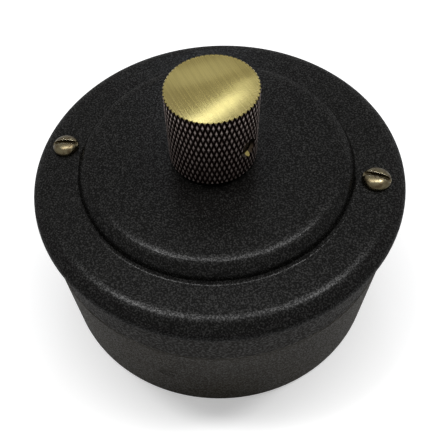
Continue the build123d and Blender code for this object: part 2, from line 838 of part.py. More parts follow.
with BuildPart() as return_spring:
    spring_height = slider_flange_bottom - switch_floor - spring_wire
    coil_radius = (spring_diameter - spring_wire) / 2
    with BuildLine() as coil:
        bends = []
        for bend in range(spring_turns * spring_runs + 1):
            turn = 2 * pi * bend / spring_runs
            height = switch_floor + spring_wire / 2 + spring_height * bend / (spring_turns * spring_runs)
            bends.append((coil_radius * cos(turn), coil_radius * sin(turn), height))
        Polyline(*bends)
    with BuildSketch(Plane(origin=bends[0], z_dir=coil.line % 0)):
        RegularPolygon(spring_wire / 2, 6)
    sweep(path=coil.line, transition=Transition.RIGHT)
save(return_spring.part, "return_spring")

# Triac, screwed flat to the plate, its leads bent down to the board
with BuildPart() as triac:
    tab_bottom = plate_bottom - triac_tab
    body_end = triac_place[1] - triac_length / 2
    with BuildSketch(level(plate_bottom)):
        with Locations(triac_place):
            Rectangle(triac_width, triac_length)
            with Locations((0, triac_length / 2 - triac_hole_diameter)):
                Circle(triac_hole_diameter / 2, mode=Mode.SUBTRACT)
    extrude(amount=-triac_tab)
    with BuildSketch(level(plate_bottom)):
        with Locations((triac_place[0], body_end + triac_body_length / 2)):
            Rectangle(triac_width, triac_body_length)
    extrude(amount=-triac_height)
    lead_level = plate_bottom - triac_lead_drop
    with BuildSketch(Plane.YZ.offset(triac_place[0] - triac_lead / 2 - triac_lead_pitch)) as lead_side:
        with BuildLine():
            Polyline(
                (body_end + triac_lead, lead_level),
                (body_end - triac_lead_reach, lead_level),
                (body_end - triac_lead_reach, board_top),
                (body_end - triac_lead_reach + triac_lead, board_top),
                (body_end - triac_lead_reach + triac_lead, lead_level - triac_lead),
                (body_end + triac_lead, lead_level - triac_lead),
                close=True,
            )
        make_face()
    for lead in range(3):
        extrude(lead_side.sketch.moved(Location((lead * triac_lead_pitch, 0, 0))), amount=triac_lead)
save(triac.part, "triac")

with BuildPart() as triac_screw:
    screw_middle = (triac_place[0], triac_place[1] + triac_length / 2 - triac_hole_diameter)
    with BuildSketch(level(plate_bottom - triac_tab)):
        with Locations(screw_middle):
            Circle(triac_screw_head / 2)
    extrude(amount=-triac_screw_head_height)
    with BuildSketch(level(plate_bottom - triac_tab - triac_screw_head_height)):
        with Locations(screw_middle):
            Rectangle(triac_screw_head, terminal_slot)
    extrude(amount=triac_screw_head_height / 2, mode=Mode.SUBTRACT)
    with BuildSketch(level(plate_bottom - triac_tab)):
        with Locations(screw_middle):
            Circle(triac_screw_diameter / 2 - thread_clearance)
    extrude(amount=triac_tab + plate_thickness - thread_clearance)
save(triac_screw.part, "triac_screw")

# Interference choke: a ferrite drum wound with wire
with BuildPart() as choke_core:
    with BuildSketch(level(board_top)):
        with Locations(choke_place):
            Circle(choke_diameter / 2)
    extrude(amount=choke_height)
    with BuildSketch(level(board_top + choke_flange)):
        with Locations(choke_place):
            Circle(choke_diameter / 2)
            Circle(choke_post / 2, mode=Mode.SUBTRACT)
    extrude(amount=choke_height - 2 * choke_flange, mode=Mode.SUBTRACT)
save(choke_core.part, "choke_core")

with BuildPart() as choke_coil:
    coil_bottom = board_top + choke_flange + thread_clearance
    layer_height = (choke_height - 2 * choke_flange - 2 * thread_clearance) / choke_layers
    inside = choke_post / 2 + thread_clearance
    crest = choke_coil_diameter / 2
    with BuildSketch(Plane((*choke_place, coil_bottom), x_dir=(1, 0, 0), z_dir=(0, -1, 0))):
        with BuildLine():
            ridges = [(inside, choke_layers * layer_height), (inside, 0)]
            for layer in range(choke_layers):
                ridges.append((crest - layer_height / 3, layer * layer_height))
                ridges.append((crest, (layer + 0.5) * layer_height))
            ridges.append((crest - layer_height / 3, choke_layers * layer_height))
            Polyline(*ridges, close=True)
        make_face()
    revolve(axis=Axis((*choke_place, 0), (0, 0, 1)))
save(choke_coil.part, "choke_coil")

# Suppression capacitor and fuse, standing on the board
with BuildPart() as suppression_capacitor:
    with BuildSketch(level(board_top)):
        with Locations(capacitor_place):
            RectangleRounded(capacitor_length, capacitor_width, capacitor_corner)
    extrude(amount=capacitor_height)
save(suppression_capacitor.part, "suppression_capacitor")

with BuildPart() as board_fuse:
    with BuildSketch(level(board_top)):
        with Locations(fuse_place):
            Circle(fuse_diameter / 2)
    extrude(amount=fuse_height)
    chamfer(board_fuse.edges().group_by(Axis.Z)[-1], fuse_chamfer)
save(board_fuse.part, "board_fuse")

# Terminal block through the housing floor, wired and screwed from the wall side
with BuildPart() as terminal_block:
    with BuildSketch(level(terminal_bottom)):
        with Locations((0, terminal_middle)):
            Rectangle(terminal_ways * terminal_pitch, terminal_depth)
    extrude(amount=terminal_height)
    with BuildSketch(level(clamp_bottom)):
        with Locations(*[(x, terminal_middle) for x, _ in terminal_places]):
            Rectangle(clamp_width + 2 * clamp_clearance, clamp_length + 2 * clamp_clearance)
    extrude(amount=board_bottom - clamp_bottom, mode=Mode.SUBTRACT)
    with BuildSketch(level(terminal_bottom)):
        with Locations(*[(x, terminal_wire_row) for x, _ in terminal_places]):
            Circle(terminal_wire_diameter / 2)
        with Locations(*[(x, terminal_screw_row) for x, _ in terminal_places]):
            Circle(terminal_head_diameter / 2 + clamp_clearance)
    extrude(amount=clamp_bottom - terminal_bottom, mode=Mode.SUBTRACT)
save(terminal_block.part, "terminal_block")

with BuildPart() as terminal_clamps:
    with BuildSketch(level(clamp_bottom + clamp_clearance)):
        with Locations(*[(x, terminal_middle) for x, _ in terminal_places]):
            Rectangle(clamp_width, clamp_length)
        with Locations(*[(x, terminal_wire_row) for x, _ in terminal_places]):
            Circle(terminal_wire_diameter / 2, mode=Mode.SUBTRACT)
        with Locations(*[(x, terminal_screw_row) for x, _ in terminal_places]):
            Circle(terminal_screw_diameter / 2, mode=Mode.SUBTRACT)
    extrude(amount=clamp_height)
save(terminal_clamps.part, "terminal_clamps")

with BuildPart() as terminal_screws:
    head_level = terminal_bottom + terminal_head_sink
    with BuildSketch(level(head_level)):
        with Locations(*[(x, terminal_screw_row) for x, _ in terminal_places]):
            Circle(terminal_head_diameter / 2)
    extrude(amount=terminal_head_height)
    with BuildSketch(level(head_level)):
        with Locations(*[(x, terminal_screw_row) for x, _ in terminal_places]):
            Rectangle(terminal_head_diameter, terminal_slot)
    extrude(amount=terminal_head_height / 2, mode=Mode.SUBTRACT)
    with BuildSketch(level(head_level + terminal_head_height)):
        with Locations(*[(x, terminal_screw_row) for x, _ in terminal_places]):
            Circle(terminal_screw_diameter / 2 - thread_clearance)
    extrude(amount=clamp_bottom + clamp_height - head_level - terminal_head_height)
save(terminal_screws.part, "terminal_screws")
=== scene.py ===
"""Looks of the rotary dimmer: a textured black metal case with a knurled, antiqued brass knob.

Metres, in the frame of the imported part: the face against the wall is at z = 0, +Z points into
the room and +X runs through the right-hand cover screw.
"""

import math

import bmesh
import bpy
from mathutils import Euler, Matrix, Vector


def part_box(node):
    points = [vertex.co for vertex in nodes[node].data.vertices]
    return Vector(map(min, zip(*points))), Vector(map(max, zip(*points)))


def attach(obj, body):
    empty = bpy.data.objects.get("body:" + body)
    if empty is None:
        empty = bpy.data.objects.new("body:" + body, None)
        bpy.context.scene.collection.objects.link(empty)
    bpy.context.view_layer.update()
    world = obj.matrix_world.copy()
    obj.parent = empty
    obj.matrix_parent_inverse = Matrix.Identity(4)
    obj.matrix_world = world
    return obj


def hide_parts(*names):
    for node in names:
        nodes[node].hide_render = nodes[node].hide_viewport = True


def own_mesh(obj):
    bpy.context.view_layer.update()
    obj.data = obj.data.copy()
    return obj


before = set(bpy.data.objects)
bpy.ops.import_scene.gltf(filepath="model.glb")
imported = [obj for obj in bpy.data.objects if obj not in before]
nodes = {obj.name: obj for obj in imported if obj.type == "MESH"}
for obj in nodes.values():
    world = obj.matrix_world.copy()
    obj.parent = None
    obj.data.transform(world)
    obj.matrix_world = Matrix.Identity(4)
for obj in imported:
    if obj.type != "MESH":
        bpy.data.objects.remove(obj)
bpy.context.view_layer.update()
MM = 0.001

# Knob sizes, as in the part
KNOB_RADIUS = 11.4 * MM
KNURL_COUNT = 58
KNURL_ROWS = 12
KNURL_DEPTH = 0.45 * MM
KNOB_DISH = 0.9 * MM
KNOB_RECESS_RADIUS = 8.8 * MM
KNOB_RECESS_DEPTH = 5.2 * MM
GRUB_ANGLE = math.radians(-28.3)
GRUB_HEIGHT = 8.0 * MM
GRUB_RADIUS = 2.0 * MM
KNOB_BORE_RADIUS = 3.05 * MM
KNOB_BORE_DEPTH = 13.4 * MM

# How the knob is made finer here: its diamonds' steps as shares of their size and depth, its broken
# edge, and the flare round its grub hole with a painted glint of bright brass at the lowest of it
KNURL_SHOULDER = 0.58
KNURL_SHOULDER_HEIGHT = 0.78
KNURL_LAND = 0.26
KNOB_SIDES = 2 * KNURL_COUNT
KNOB_ROUND = 0.04 * MM
KNOB_CHAMFER = 0.16 * MM
DISH_RINGS = 16
HOLE_SIDES = 48
LEVEL_TOLERANCE = 0.01 * MM
FLARE_WIDTH = 1.0 * MM
FLARE_DEPTH = 0.5 * MM
FLARE_REACH = 0.6 * MM
PAINTED_GLINT_DROP = 1.2
BRUSH_ANGLE = math.radians(-53.5)

# Cover screw sizes, as in the part
SCREW_SPREAD = 42.0 * MM
SCREW_HEAD_RADIUS = 3.7 * MM
SCREW_HEAD_HEIGHT = 2.3 * MM
SCREW_RADIUS = 1.95 * MM
SLOT_ANGLES = {1: -11.6, -1: 8.8}

# How the screws are made finer here, with their slots worn wider
SLOT_WIDTH = 1.3 * MM
SLOT_DEPTH = 1.25 * MM
SCREW_SIDES = 36
DOME_STEPS = 12
HEAD_FULLNESS = 0.8
THREAD_PITCH = 0.7 * MM
THREAD_DEPTH = 0.35 * MM
ROWS_A_TURN = 6

# Paint: its grain is turned so that no flat face lies in a layer where the noise is even
GRAIN_TURN = (0.5, 0.35, 0.0)
PEEL_SIZE = 0.0022
# Width and fade of the painted highlight line along the seam
SEAM_LINE = 0.0001
SEAM_FADE = 0.0005
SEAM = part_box("wall_box")[1].z

# Kinds of socket
FLOAT, VECTOR = "NodeSocketFloat", "NodeSocketVector"
WHOLE, FINISH = "NodeSocketInt", "NodeSocketMaterial"


# Builder of node trees, for finishes and for shapes

class Wiring:
    """A node tree that is filled one node at a time."""

    def __init__(self, tree):
        self.tree = tree

    def node(self, kind, **settings):
        """New node with these properties."""
        made = self.tree.nodes.new(kind)
        for name, value in settings.items():
            setattr(made, name, value)
        return made

    def feed(self, socket, value):
        """Link an output to a socket, or set the socket to a constant."""
        if isinstance(value, bpy.types.NodeSocket):
            self.tree.links.new(value, socket)
        elif value is not None:
            socket.default_value = value

    def math(self, operation, *values, clamp=False):
        made = self.node("ShaderNodeMath", operation=operation, use_clamp=clamp)
        for socket, value in zip(made.inputs, values):
            self.feed(socket, value)
        return made.outputs[0]

    def vector(self, operation, *values):
        made = self.node("ShaderNodeVectorMath", operation=operation)
        for socket, value in zip(made.inputs, values):
            self.feed(socket, value)
        return made.outputs["Value"] if operation in ("LENGTH", "DOT_PRODUCT") else made.outputs[0]

    def parts(self, vector):
        """The X, Y and Z of a vector."""
        made = self.node("ShaderNodeSeparateXYZ")
        self.feed(made.inputs[0], vector)
        return made.outputs

    def joined(self, x, y, z):
        """Vector of these three."""
        made = self.node("ShaderNodeCombineXYZ")
        for socket, value in zip(made.inputs, (x, y, z)):
            self.feed(socket, value)
        return made.outputs[0]

    def noise(self, vector, scale, detail=2.0, roughness=0.5):
        made = self.node("ShaderNodeTexNoise", noise_dimensions="3D")
        self.feed(made.inputs["Vector"], vector)
        self.feed(made.inputs["Scale"], scale)
        self.feed(made.inputs["Detail"], detail)
        self.feed(made.inputs["Roughness"], roughness)
        return made.outputs["Fac"]

    def ramp(self, value, low, high, out_low=0.0, out_high=1.0):
        """Value taken from one range to another, with a soft start and end."""
        made = self.node("ShaderNodeMapRange", interpolation_type="SMOOTHSTEP")
        for name, given in (("Value", value), ("From Min", low), ("From Max", high),
                            ("To Min", out_low), ("To Max", out_high)):
            self.feed(made.inputs[name], given)
        return made.outputs["Result"]

    def mix(self, factor, first, second, blend="MIX"):
        """Mix of two colours."""
        made = self.node("ShaderNodeMix", data_type="RGBA", blend_type=blend)
        self.feed(made.inputs["Factor"], factor)
        self.feed(made.inputs["A"], first)
        self.feed(made.inputs["B"], second)
        return next(o for o in made.outputs if o.type == "RGBA")

    def coordinates(self, scale=(1, 1, 1), rotation=(0, 0, 0)):
        """Object coordinates, turned and stretched."""
        source = self.node("ShaderNodeTexCoord")
        mapping = self.node("ShaderNodeMapping", vector_type="TEXTURE")
        self.feed(mapping.inputs["Vector"], source.outputs["Object"])
        mapping.inputs["Rotation"].default_value = rotation
        mapping.inputs["Scale"].default_value = scale
        return mapping.outputs["Vector"]

    def use(self, group, **values):
        """Place a shader group; values are its inputs, with _ for a space."""
        made = self.node("ShaderNodeGroup", node_tree=group)
        for name, value in values.items():
            self.feed(made.inputs[name.replace("_", " ")], value)
        return made.outputs


# Effects that several finishes share

def shader_group(name, inputs, outputs):
    """Empty shader group with named sockets. Returns it, its wiring, and what comes in and goes out."""
    tree = bpy.data.node_groups.new(name, "ShaderNodeTree")
    for socket, kind, value in inputs:
        made = tree.interface.new_socket(socket, in_out="INPUT", socket_type=kind)
        made.default_value = value
    for socket, kind in outputs:
        tree.interface.new_socket(socket, in_out="OUTPUT", socket_type=kind)
    shader = Wiring(tree)
    start = shader.node("NodeGroupInput")
    end = shader.node("NodeGroupOutput")
    return tree, shader, start.outputs, end.inputs


def sprayed_coat():
    """Fine pimples of a sprayed textured paint, over a slow orange peel, with a mask of the pimple tops for
    painted glints.
    """
    tree, s, given, out = shader_group(
        "sprayed_coat",
        [("Vector", VECTOR, (0, 0, 0)), ("Pimple Size", FLOAT, 0.0004), ("Peel Size", FLOAT, 0.002)],
        [("Height", FLOAT), ("Fleck", FLOAT), ("Cloud", FLOAT)])
    vector = given["Vector"]
    fine = s.noise(vector, s.math("DIVIDE", 1.0, given["Pimple Size"]), detail=1.0, roughness=0.4)
    peel = s.noise(vector, s.math("DIVIDE", 1.0, given["Peel Size"]), detail=2.0, roughness=0.5)
    pimples = s.ramp(fine, 0.3, 0.72)
    s.feed(out["Height"], s.math("ADD", s.math("MULTIPLY", pimples, 0.75), s.math("MULTIPLY", peel, 0.25)))
    # Painted glints: a mask of the pimple tops, which the paint lightens as if they caught the light
    s.feed(out["Fleck"], s.ramp(fine, 0.56, 0.70))
    s.feed(out["Cloud"], s.noise(vector, 60.0, detail=3.0, roughness=0.55))
    return tree


def brushed_lines():
    """Fine straight scratches along X of the vector that comes in."""
    tree, s, given, out = shader_group(
        "brushed_lines",
        [("Vector", VECTOR, (0, 0, 0)), ("Line Width", FLOAT, 0.0001), ("Line Length", FLOAT, 0.006)],
        [("Height", FLOAT), ("Shade", FLOAT)])
    x, y, z = s.parts(given["Vector"])
    drawn_out = s.joined(s.math("DIVIDE", x, given["Line Length"]), s.math("DIVIDE", y, given["Line Width"]),
                         s.math("DIVIDE", z, given["Line Length"]))
    fine = s.noise(drawn_out, 1.0, detail=1.5, roughness=0.6)
    broad = s.noise(drawn_out, 0.22, detail=2.0, roughness=0.5)
    s.feed(out["Height"], fine)
    s.feed(out["Shade"], s.math("ADD", s.math("MULTIPLY", fine, 0.8), s.math("MULTIPLY", broad, 0.2)))
    return tree


def turned_rings():
    """Rings that a lathe leaves round the Z axis."""
    tree, s, given, out = shader_group(
        "turned_rings",
        [("Vector", VECTOR, (0, 0, 0)), ("Spacing", FLOAT, 0.0002)],
        [("Height", FLOAT), ("Radius", FLOAT)])
    radius = s.vector("LENGTH", s.vector("MULTIPLY", given["Vector"], (1, 1, 0)))
    height = s.parts(given["Vector"])["Z"]
    rings = s.joined(s.math("DIVIDE", radius, given["Spacing"]),
                     s.math("DIVIDE", height, given["Spacing"]), 0.0)
    s.feed(out["Height"], s.noise(rings, 1.0, detail=3.0, roughness=0.6))
    s.feed(out["Radius"], radius)
    return tree


def aged_patina():
    """Brown film of old brass, thick in blotches and specks. Amount 0 is bright, 1 is dark all over."""
    tree, s, given, out = shader_group(
        "aged_patina",
        [("Vector", VECTOR, (0, 0, 0)), ("Blotch Size", FLOAT, 0.002), ("Amount", FLOAT, 0.5)],
        [("Film", FLOAT), ("Speck", FLOAT)])
    blotch = s.noise(given["Vector"], s.math("DIVIDE", 1.0, given["Blotch Size"]), detail=4.0, roughness=0.6)
    speck = s.noise(given["Vector"], s.math("DIVIDE", 6.0, given["Blotch Size"]), detail=2.0, roughness=0.5)
    low = s.math("SUBTRACT", 0.85, given["Amount"])
    s.feed(out["Film"], s.ramp(blotch, low, s.math("ADD", low, 0.35)))
    s.feed(out["Speck"], s.ramp(speck, 0.62, 0.72))
    return tree


def worn_edges():
    """1 on an edge that sticks out, broken up by noise, from how far a rounded normal turns away."""
    tree, s, given, out = shader_group(
        "worn_edges",
        [("Vector", VECTOR, (0, 0, 0)), ("Radius", FLOAT, 0.0003), ("Break Up", FLOAT, 0.5)],
        [("Wear", FLOAT)])
    bevel = s.node("ShaderNodeBevel", samples=4)
    s.feed(bevel.inputs["Radius"], given["Radius"])
    true_normal = s.node("ShaderNodeNewGeometry").outputs["Normal"]
    agree = s.vector("DOT_PRODUCT", bevel.outputs[0], true_normal)
    turned = s.ramp(s.math("SUBTRACT", 1.0, agree), 0.02, 0.25)
    patchy = s.ramp(s.noise(given["Vector"], 900.0, detail=3.0, roughness=0.6), 0.35, 0.65)
    gaps = s.math("MULTIPLY", given["Break Up"], s.math("SUBTRACT", 1.0, patchy))
    kept = s.math("SUBTRACT", 1.0, gaps)
    s.feed(out["Wear"], s.math("MULTIPLY", turned, kept, clamp=True))
    return tree


def moulded_skin():
    """Fine spark-eroded texture of moulded plastic, with faint flow marks."""
    tree, s, given, out = shader_group(
        "moulded_skin",
        [("Vector", VECTOR, (0, 0, 0)), ("Grain Size", FLOAT, 0.0002)],
        [("Height", FLOAT), ("Flow", FLOAT)])
    grain = s.math("DIVIDE", 1.0, given["Grain Size"])
    s.feed(out["Height"], s.noise(given["Vector"], grain, detail=2.0, roughness=0.5))
    s.feed(out["Flow"], s.noise(given["Vector"], 180.0, detail=3.0, roughness=0.6))
    return tree


COAT = sprayed_coat()
BRUSHED = brushed_lines()
TURNED = turned_rings()
PATINA = aged_patina()
WORN = worn_edges()
MOULDED = moulded_skin()


# Finishes

def material(name, metallic=0.0, roughness=0.5, **constants):
    """New material with a Principled BSDF. Returns the material, its wiring and the BSDF's inputs."""
    made = bpy.data.materials.new(name)
    made.use_nodes = True
    made.node_tree.nodes.clear()
    s = Wiring(made.node_tree)
    bsdf = s.node("ShaderNodeBsdfPrincipled")
    end = s.node("ShaderNodeOutputMaterial")
    s.feed(end.inputs["Surface"], bsdf.outputs["BSDF"])
    bsdf.inputs["Metallic"].default_value = metallic
    bsdf.inputs["Roughness"].default_value = roughness
    for socket, value in constants.items():
        bsdf.inputs[socket.replace("_", " ")].default_value = value
    return made, s, bsdf.inputs


def bump(s, bsdf, height, distance, strength=1.0):
    """Send a height to the normal, with its depth in metres."""
    made = s.node("ShaderNodeBump")
    made.inputs["Strength"].default_value = strength
    made.inputs["Distance"].default_value = distance
    s.feed(made.inputs["Height"], height)
    s.feed(bsdf["Normal"], made.outputs["Normal"])


def rgb(red, green, blue):
    return (red, green, blue, 1.0)


def grey(value):
    return rgb(value, value, value)


def lightened(colour, times):
    return rgb(*(min(1.0, part * times) for part in colour[:3]))


def black_paint(name, base, pimple_size, depth, painted_glint, gloss, mottle, seam_height=None):
    """Textured black paint, glossier on its pimples, with painted glints that lighten the pimple tops, and a
    painted highlight line along the seam where castings meet.
    """
    made, s, bsdf = material(name, roughness=0.4, Specular_IOR_Level=0.0, Coat_Roughness=0.29)
    slanted = s.coordinates(rotation=GRAIN_TURN)
    coat = s.use(COAT, Vector=slanted, Pimple_Size=pimple_size, Peel_Size=PEEL_SIZE)
    colour = s.mix(s.ramp(coat["Cloud"], 0.35, 0.7), base, lightened(base, 1.35))
    # Painted glints: the pimple tops are mixed towards a light grey
    colour = s.mix(s.math("MULTIPLY", coat["Fleck"], painted_glint), colour, rgb(0.05, 0.049, 0.046))
    # Painted highlight: a thin light line along the seam, broken up by the cloud noise
    if seam_height is not None:
        level = s.parts(s.coordinates())["Z"]
        off = s.math("ABSOLUTE", s.math("SUBTRACT", level, seam_height))
        line = s.ramp(off, SEAM_LINE, SEAM_FADE, 1.0, 0.0)
        painted_seam_highlight = s.math("MULTIPLY", line, s.ramp(coat["Cloud"], 0.3, 0.6))
        colour = s.mix(s.math("MULTIPLY", painted_seam_highlight, 0.8), colour, rgb(0.19, 0.18, 0.16))
    s.feed(bsdf["Base Color"], colour)
    dull, bright = gloss * (1 - mottle), gloss * (1 + mottle)
    s.feed(bsdf["Coat Weight"], s.ramp(coat["Height"], 0.3, 0.7, dull, bright))
    bump(s, bsdf, coat["Height"], depth)
    return made


def plain_metal(name, colour, dull, roughness):
    """Turned or drawn metal, a little dulled in blotches."""
    made, s, bsdf = material(name, metallic=1.0)
    place = s.coordinates()
    rings = s.use(TURNED, Vector=place, Spacing=0.0002)
    patina = s.use(PATINA, Vector=place, Blotch_Size=0.003, Amount=0.2)
    s.feed(bsdf["Base Color"], s.mix(patina["Film"], colour, dull))
    s.feed(bsdf["Roughness"], s.ramp(rings["Height"], 0.3, 0.7, roughness - 0.08, roughness + 0.1))
    bump(s, bsdf, rings["Height"], 0.00001, 0.6)
    return made


def moulded_plastic(name, colour, roughness, grain=0.0002, flow=1.25):
    """Moulded plastic, rubber or ceramic with a fine skin and faint flow marks."""
    made, s, bsdf = material(name)
    skin = s.use(MOULDED, Vector=s.coordinates(), Grain_Size=grain)
    s.feed(bsdf["Base Color"], s.mix(s.ramp(skin["Flow"], 0.35, 0.7), colour, lightened(colour, flow)))
    s.feed(bsdf["Roughness"], s.ramp(skin["Height"], 0.3, 0.7, roughness - 0.06, roughness + 0.08))
    bump(s, bsdf, skin["Height"], 0.000012, 0.6)
    return made


def antiqued_knurl():
    """Brass knurl: rubbed lands over grooves that hold a near-black finish."""
    made, s, bsdf = material("antiqued_knurl", metallic=0.8, roughness=0.4, Specular_IOR_Level=0.2)
    place = s.coordinates()
    radius = s.use(TURNED, Vector=place)["Radius"]
    root = KNOB_RADIUS - KNURL_DEPTH
    raised = s.ramp(radius, root + 0.74 * KNURL_DEPTH, root + 0.99 * KNURL_DEPTH)
    patina = s.use(PATINA, Vector=place, Blotch_Size=0.0012, Amount=0.45)
    land = s.mix(patina["Film"], rgb(0.78, 0.66, 0.62), rgb(0.40, 0.31, 0.28))
    s.feed(bsdf["Base Color"], s.mix(raised, rgb(0.006, 0.0018, 0.0012), land))
    s.feed(bsdf["Roughness"], s.math("SUBTRACT", 0.6, s.math("MULTIPLY", raised, 0.32)))
    bump(s, bsdf, patina["Speck"], 0.00001, 0.5)
    return made


def brushed_brass():
    """Top of the knob: pale old gold with straight brushing."""
    made, s, bsdf = material("brushed_brass", metallic=1.0, roughness=0.15, Anisotropic=0.6)
    place = s.coordinates(rotation=(0, 0, BRUSH_ANGLE))
    lines = s.use(BRUSHED, Vector=place, Line_Width=0.00014, Line_Length=0.012)
    patina = s.use(PATINA, Vector=place, Blotch_Size=0.004, Amount=0.25)
    shade = s.ramp(lines["Shade"], 0.35, 0.65)
    gold = s.mix(shade, rgb(0.212, 0.172, 0.060), rgb(0.256, 0.208, 0.074))
    film = s.math("MULTIPLY", patina["Film"], 0.25)
    s.feed(bsdf["Base Color"], s.mix(film, gold, rgb(0.20, 0.155, 0.06)))
    s.feed(bsdf["Roughness"], s.ramp(lines["Height"], 0.3, 0.7, 0.13, 0.17))
    tangent = s.node("ShaderNodeTangent", direction_type="UV_MAP", uv_map="brushing")
    s.feed(bsdf["Tangent"], tangent.outputs["Tangent"])
    bump(s, bsdf, lines["Height"], 0.000002, 0.8)
    return made


def aged_bronze():
    """Screw heads: worn brass under a brown film in blotches and specks, bare and bright on the edges that
    stick out.
    """
    made, s, bsdf = material("aged_bronze", metallic=1.0, roughness=0.3)
    place = s.coordinates()
    patina = s.use(PATINA, Vector=place, Blotch_Size=0.0014, Amount=0.5)
    worn = s.use(WORN, Vector=place, Radius=0.00025)["Wear"]
    body = s.mix(patina["Film"], rgb(0.115, 0.100, 0.060), rgb(0.050, 0.036, 0.020))
    body = s.mix(s.math("MULTIPLY", patina["Speck"], 0.5), body, rgb(0.06, 0.04, 0.025))
    s.feed(bsdf["Base Color"], s.mix(worn, body, rgb(0.72, 0.66, 0.52)))
    s.feed(bsdf["Roughness"], s.math("ADD", 0.2, s.math("MULTIPLY", patina["Film"], 0.18)))
    bump(s, bsdf, patina["Film"], 0.00001, 0.6)
    return made


cover_paint = black_paint("cover_paint", rgb(0.0024, 0.0023, 0.0021), pimple_size=0.0004,
                          depth=0.00007, painted_glint=0.3, gloss=0.20, mottle=0.5)
ring_paint = black_paint("ring_paint", rgb(0.0085, 0.0070, 0.0054), pimple_size=0.0006,
                         depth=0.00026, painted_glint=0.7, gloss=0.19, mottle=0.42, seam_height=SEAM)
box_paint = black_paint("box_paint", rgb(0.0165, 0.0130, 0.0076), pimple_size=0.00046,
                        depth=0.00020, painted_glint=0.6, gloss=0.26, mottle=0.4, seam_height=SEAM)
knurl_finish = antiqued_knurl()
top_finish = brushed_brass()
screw_finish = aged_bronze()
# Painted shade: near-black metal inside the knob's recess, bore and grub hole
hole_painted_shade = plain_metal("dark_hole", rgb(0.035, 0.026, 0.018), rgb(0.015, 0.010, 0.007), roughness=0.3)
machined_brass = plain_metal("machined_brass", rgb(0.72, 0.53, 0.22), rgb(0.38, 0.25, 0.10), roughness=0.3)
zinc_plate = plain_metal("zinc_plate", rgb(0.66, 0.66, 0.64), rgb(0.42, 0.42, 0.40), roughness=0.34)
bare_aluminium = plain_metal("bare_aluminium", rgb(0.82, 0.82, 0.83), rgb(0.55, 0.55, 0.56), roughness=0.38)
sprung_bronze = plain_metal("sprung_bronze", rgb(0.66, 0.42, 0.25), rgb(0.36, 0.20, 0.12), roughness=0.3)
black_moulding = moulded_plastic("black_moulding", rgb(0.022, 0.022, 0.024), roughness=0.5)
white_nylon = moulded_plastic("white_nylon", rgb(0.68, 0.67, 0.62), roughness=0.42, flow=1.1)
board_laminate = moulded_plastic("board_laminate", rgb(0.05, 0.16, 0.07), roughness=0.36, grain=0.0006)
carbon_film = moulded_plastic("carbon_film", rgb(0.016, 0.016, 0.017), roughness=0.6, grain=0.0001)
black_epoxy = moulded_plastic("black_epoxy", rgb(0.02, 0.02, 0.022), roughness=0.34)
grey_ferrite = moulded_plastic("grey_ferrite", rgb(0.05, 0.05, 0.053), roughness=0.55, grain=0.0004)
yellow_case = moulded_plastic("yellow_case", rgb(0.62, 0.38, 0.05), roughness=0.3)
black_rubber = moulded_plastic("black_rubber", rgb(0.02, 0.02, 0.02), roughness=0.68, grain=0.0003)
enamelled_copper = plain_metal("enamelled_copper", rgb(0.55, 0.20, 0.075), rgb(0.30, 0.09, 0.03),
                               roughness=0.22)

FINISHES = {
    "wall_box": box_paint, "spacer_ring": ring_paint, "cover": cover_paint,
    "cover_screws": screw_finish, "knob": knurl_finish,
    "screw_inserts": machined_brass, "earth_terminal": machined_brass, "terminal_clamps": machined_brass,
    "threaded_bush": machined_brass, "bush_nut": machined_brass,
    "grub_screw": zinc_plate, "spindle_clip": zinc_plate, "lock_washer": zinc_plate,
    "return_spring": zinc_plate, "plate_screws": zinc_plate, "triac_screw": zinc_plate,
    "terminal_screws": zinc_plate, "earth_screw": zinc_plate,
    "spindle": bare_aluminium, "heat_sink_plate": bare_aluminium,
    "module_housing": black_moulding, "potentiometer_shell": black_moulding,
    "terminal_block": black_moulding, "switch_body": black_moulding,
    "push_slider": white_nylon, "wiper_rotor": white_nylon,
    "circuit_board": board_laminate, "switch_base": board_laminate, "resistor_track": carbon_film,
    "wiper_contact": sprung_bronze, "triac": black_epoxy, "choke_core": grey_ferrite,
    "choke_coil": enamelled_copper, "suppression_capacitor": yellow_case, "board_fuse": black_epoxy,
    "cable_grommet": black_rubber,
}
for name, finish in FINISHES.items():
    nodes[name].data.materials.clear()
    nodes[name].data.materials.append(finish)


# Mesh helpers

def finished(name, mesh, body, slot, *replaced):
    """Object for a mesh whose place is in its vertices, riding on a body."""
    made = bpy.data.objects.new(name, mesh)
    bpy.context.scene.collection.objects.link(made)
    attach(made, body)
    if replaced:
        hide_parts(*replaced)
    return made


def lathe(bm, profile, segments, axis=Matrix.Identity(4), finish=0, smooth=True):
    """Turn a profile of (radius, height) round the Z axis into a bmesh; a radius of 0 closes it."""
    rings = []
    for radius, height in profile:
        if radius == 0:
            rings.append([bm.verts.new(axis @ Vector((0, 0, height)))])
        else:
            turns = [math.tau * n / segments for n in range(segments)]
            rings.append([bm.verts.new(axis @ ring_point(radius, turn, height)) for turn in turns])
    for low, high in zip(rings, rings[1:]):
        for n in range(segments):
            m = (n + 1) % segments
            corners = [low[n % len(low)], low[m % len(low)], high[m % len(high)], high[n % len(high)]]
            corners = list(dict.fromkeys(corners))
            face = bm.faces.new(corners)
            face.material_index = finish
            face.smooth = smooth


def closed_mesh(bm, name, *finishes):
    """Merge a bmesh's doubles, point its faces outwards and make it a mesh with these materials."""
    bmesh.ops.remove_doubles(bm, verts=bm.verts, dist=2e-6)
    bmesh.ops.dissolve_degenerate(bm, edges=bm.edges, dist=1e-7)
    bmesh.ops.recalc_face_normals(bm, faces=bm.faces)
    mesh = bpy.data.meshes.new(name)
    bm.to_mesh(mesh)
    bm.free()
    for finish in finishes:
        mesh.materials.append(finish)
    return mesh


